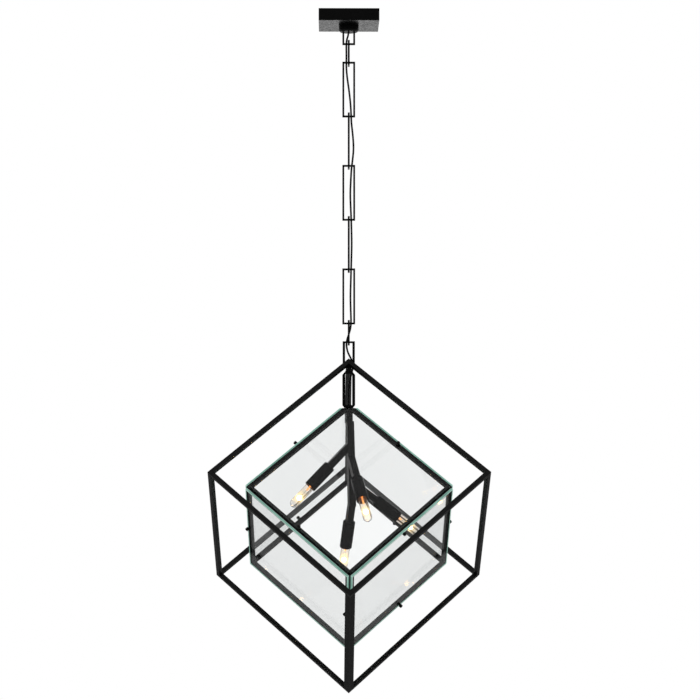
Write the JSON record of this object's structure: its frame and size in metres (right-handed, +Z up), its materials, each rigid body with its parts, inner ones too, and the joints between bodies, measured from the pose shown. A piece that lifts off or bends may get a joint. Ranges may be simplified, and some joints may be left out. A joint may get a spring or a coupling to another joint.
{
  "type": "hanging lantern",
  "caption": "Pendant lantern: a glazed cube inside an open cube frame, both hung by one corner from a chain of rectangular links under a square canopy.",
  "frame": {"origin": "centre of the mounting crossbar's top face, which is the ceiling face of the canopy, on the hanging axis", "axes": "+Z up towards the ceiling; X along the crossbar and square to two sides of the canopy; -Y is the front"},
  "size_m": [0.5748, 0.6636, 1.434],
  "materials": {
    "aged_iron": "satin",
    "zinc_steel": "satin",
    "green_screw": "satin",
    "connector_plastic": "matte",
    "house_wire": "matte",
    "cord_jacket": "matte",
    "lamp_cap_nickel": "satin",
    "lamp_glass": "gloss",
    "pane_glass": "gloss",
    "socket_phenolic": "matte"
  },
  "bodies": {
    "ceiling_mount": {"mounting_crossbar": "zinc_steel", "threaded_nipple": "zinc_steel", "nipple_lock_nuts": "zinc_steel", "ground_screw": "green_screw", "wire_connectors": "connector_plastic", "supply_leads": "house_wire", "canopy_loop": "aged_iron", "cord_run_1": "cord_jacket"},
    "canopy": {"canopy_cover": "aged_iron", "collar_ring": "aged_iron"},
    "link_1": {"chain_link_1": "aged_iron", "cord_run_2": "cord_jacket"},
    "link_2": {"chain_link_2": "aged_iron", "cord_run_3": "cord_jacket"},
    "link_3": {"chain_link_3": "aged_iron", "cord_run_4": "cord_jacket"},
    "link_4": {"chain_link_4": "aged_iron", "cord_run_5": "cord_jacket"},
    "link_5": {"chain_link_5": "aged_iron", "cord_run_6": "cord_jacket"},
    "link_6": {"chain_link_6": "aged_iron", "cord_run_7": "cord_jacket"},
    "link_7": {"chain_link_7": "aged_iron"},
    "cage": {"cage_top_loop": "aged_iron", "glass_back_lower": "pane_glass", "glass_front_upper": "pane_glass", "glass_knobs": "aged_iron", "glass_left_lower": "pane_glass", "glass_left_upper": "pane_glass", "glass_right_lower": "pane_glass", "glass_right_upper": "pane_glass", "inner_bars_bottom": "aged_iron", "inner_bars_top": "aged_iron", "inner_bars_waist": "aged_iron", "inner_cage_hanger": "aged_iron", "lamp_arms": "aged_iron", "lamp_stem": "aged_iron", "outer_bar_back_left": "aged_iron", "outer_bar_back_right": "aged_iron", "outer_bar_bottom_front": "aged_iron", "outer_bar_bottom_left": "aged_iron", "outer_bar_bottom_right": "aged_iron", "outer_bar_front_left": "aged_iron", "outer_bar_front_right": "aged_iron", "outer_bar_side_left": "aged_iron", "outer_bar_side_right": "aged_iron", "outer_bar_top_back": "aged_iron", "outer_bar_top_left": "aged_iron", "outer_bar_top_right": "aged_iron", "socket_cups": "aged_iron", "socket_inserts": "socket_phenolic", "cord_run_8": "cord_jacket"},
    "lamp_1": {"lamp_base_1": "lamp_cap_nickel", "lamp_glass_1": "lamp_glass"},
    "lamp_2": {"lamp_base_2": "lamp_cap_nickel", "lamp_glass_2": "lamp_glass"},
    "lamp_3": {"lamp_base_3": "lamp_cap_nickel", "lamp_glass_3": "lamp_glass"},
    "lamp_4": {"lamp_base_4": "lamp_cap_nickel", "lamp_glass_4": "lamp_glass"}
  },
  "joints": [
    {"name": "canopy_drop", "type": "slide", "parent": "ceiling_mount", "child": "canopy", "axis": [0, 0, -1], "range_m": [0, 0.018]},
    {"name": "chain_joint_1", "type": "hinge", "parent": "ceiling_mount", "child": "link_1", "pos_m": [0, 0, -0.064], "axis": [1, 0, 0], "range_deg": [-20, 20], "deforming": ["cord_run_1"]},
    {"name": "chain_joint_2", "type": "hinge", "parent": "link_1", "child": "link_2", "pos_m": [0, 0, -0.1083], "axis": [0, 1, 0], "range_deg": [-20, 20], "deforming": ["cord_run_2"]},
    {"name": "chain_joint_3", "type": "hinge", "parent": "link_2", "child": "link_3", "pos_m": [0, 0, -0.218], "axis": [1, 0, 0], "range_deg": [-20, 20], "deforming": ["cord_run_3"]},
    {"name": "chain_joint_4", "type": "hinge", "parent": "link_3", "child": "link_4", "pos_m": [0, 0, -0.3277], "axis": [0, 1, 0], "range_deg": [-20, 20], "deforming": ["cord_run_4"]},
    {"name": "chain_joint_5", "type": "hinge", "parent": "link_4", "child": "link_5", "pos_m": [0, 0, -0.4374], "axis": [1, 0, 0], "range_deg": [-20, 20], "deforming": ["cord_run_5"]},
    {"name": "chain_joint_6", "type": "hinge", "parent": "link_5", "child": "link_6", "pos_m": [0, 0, -0.5471], "axis": [0, 1, 0], "range_deg": [-20, 20], "deforming": ["cord_run_6"]},
    {"name": "chain_joint_7", "type": "hinge", "parent": "link_6", "child": "link_7", "pos_m": [0, 0, -0.6568], "axis": [1, 0, 0], "range_deg": [-20, 20], "deforming": ["cord_run_7"]},
    {"name": "chain_joint_8", "type": "hinge", "parent": "link_7", "child": "cage", "pos_m": [0, 0, -0.7011], "axis": [0, 1, 0], "range_deg": [-20, 20], "deforming": ["cord_run_8"]},
    {"name": "lamp_1_unscrew", "type": "hinge", "parent": "cage", "child": "lamp_1", "pos_m": [-0.07127, -0.02144, -0.99028], "axis": [-0.6797, -0.1949, -0.7071], "range_deg": [0, 720]},
    {"name": "lamp_2_unscrew", "type": "hinge", "parent": "cage", "child": "lamp_2", "pos_m": [0.0252, -0.07273, -1.01566], "axis": [0.1949, -0.6797, -0.7071], "range_deg": [0, 720]},
    {"name": "lamp_3_unscrew", "type": "hinge", "parent": "cage", "child": "lamp_3", "pos_m": [0.0927, 0.02751, -1.05787], "axis": [0.7717, 0.2213, -0.5962], "range_deg": [0, 720]},
    {"name": "lamp_4_unscrew", "type": "hinge", "parent": "cage", "child": "lamp_4", "pos_m": [-0.00422, 0.04238, -1.11716], "axis": [-0.1191, 0.4153, -0.9018], "range_deg": [0, 720]}
  ]
}
